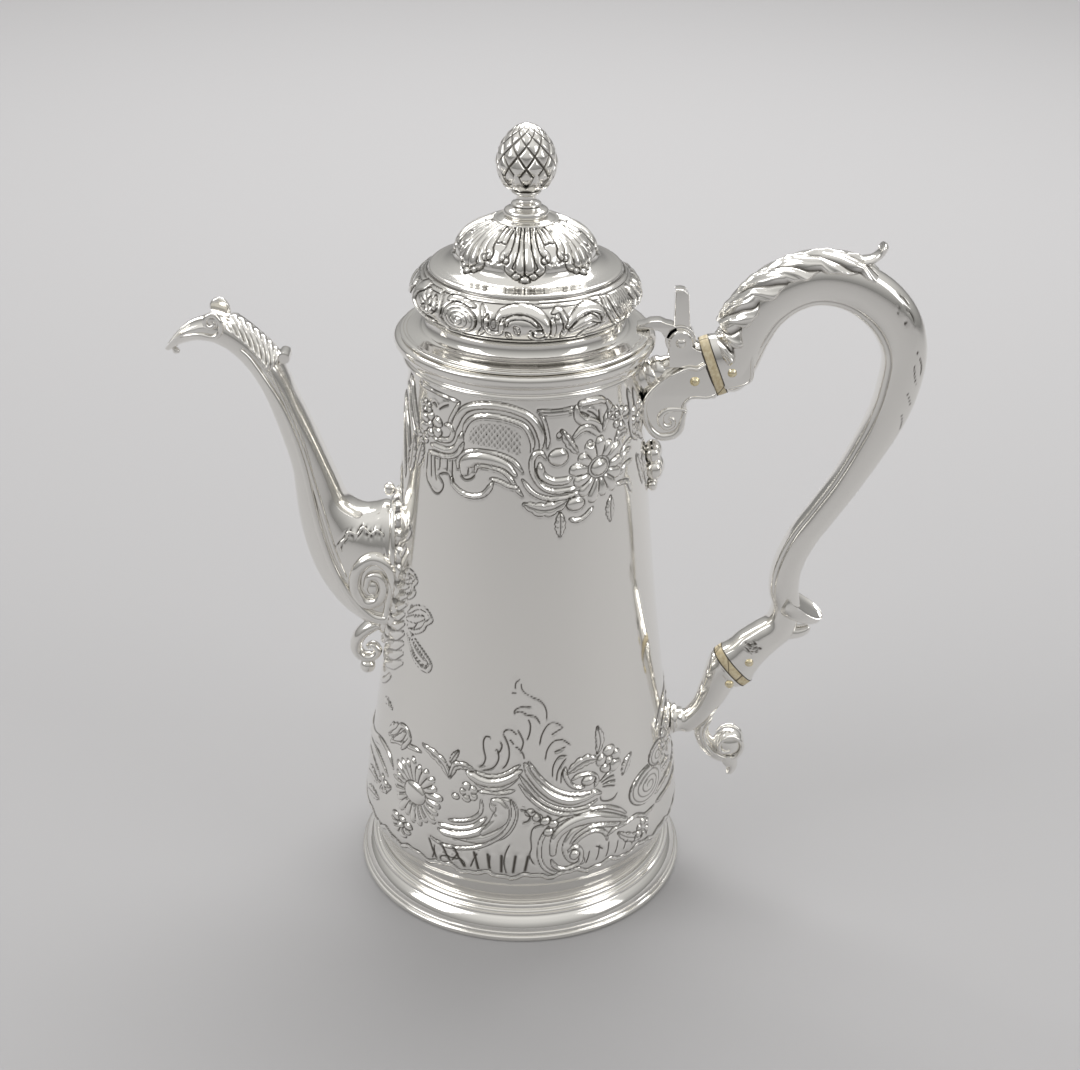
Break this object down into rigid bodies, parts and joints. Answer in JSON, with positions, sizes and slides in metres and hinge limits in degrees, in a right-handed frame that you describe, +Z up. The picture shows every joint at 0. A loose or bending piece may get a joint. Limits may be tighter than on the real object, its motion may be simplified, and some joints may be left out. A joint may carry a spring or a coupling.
{
  "type": "coffee pot",
  "caption": "Footed silver coffee pot with a tapering chased body, scroll spout, hinged domed lid with a pinecone finial, and a leaf-capped scroll handle on insulating slabs.",
  "frame": {"origin": "middle of the foot's underside, on the surface the pot stands on", "axes": "+Z up along the body's axis, spout towards -X, handle towards +X, hinge pin along Y"},
  "size_m": [0.2379, 0.1128, 0.2603],
  "materials": {
    "silver": "polished silver with chased ornament",
    "ivory": "satin, with fine age cracks",
    "brass": "polished"
  },
  "bodies": {
    "pot": {"body_shell": "silver", "base_plate": "silver", "foot_ring": "silver", "foot_wire": "silver", "top_rim": "silver", "spout_near_half": "silver", "spout_far_half": "silver", "spout_shell": "silver", "spout_collar": "silver", "spout_drop": "silver", "lip_scrolls": "silver", "upper_socket": "silver", "upper_socket_drop": "silver", "lower_socket": "silver", "lower_socket_scroll": "silver", "upper_insulator": "ivory", "lower_insulator": "ivory", "insulator_rivets": "brass", "handle_near_half": "silver", "handle_far_half": "silver", "handle_leaf": "silver", "handle_scroll": "silver", "hinge_pin": "brass"},
    "lid": {"lid_flange": "silver", "lid_bezel": "silver", "lid_band": "silver", "lid_dome": "silver", "hinge_leaf": "silver", "finial_disc": "silver", "finial_stem": "silver", "finial_calyx": "silver", "finial_cone": "silver", "finial_screw": "silver", "finial_nut": "brass"}
  },
  "joints": [
    {"name": "lid_hinge", "type": "hinge", "parent": "pot", "child": "lid", "pos_m": [0.0483, 0, 0.1931], "axis": [0, 1, 0], "range_deg": [0, 38]}
  ]
}
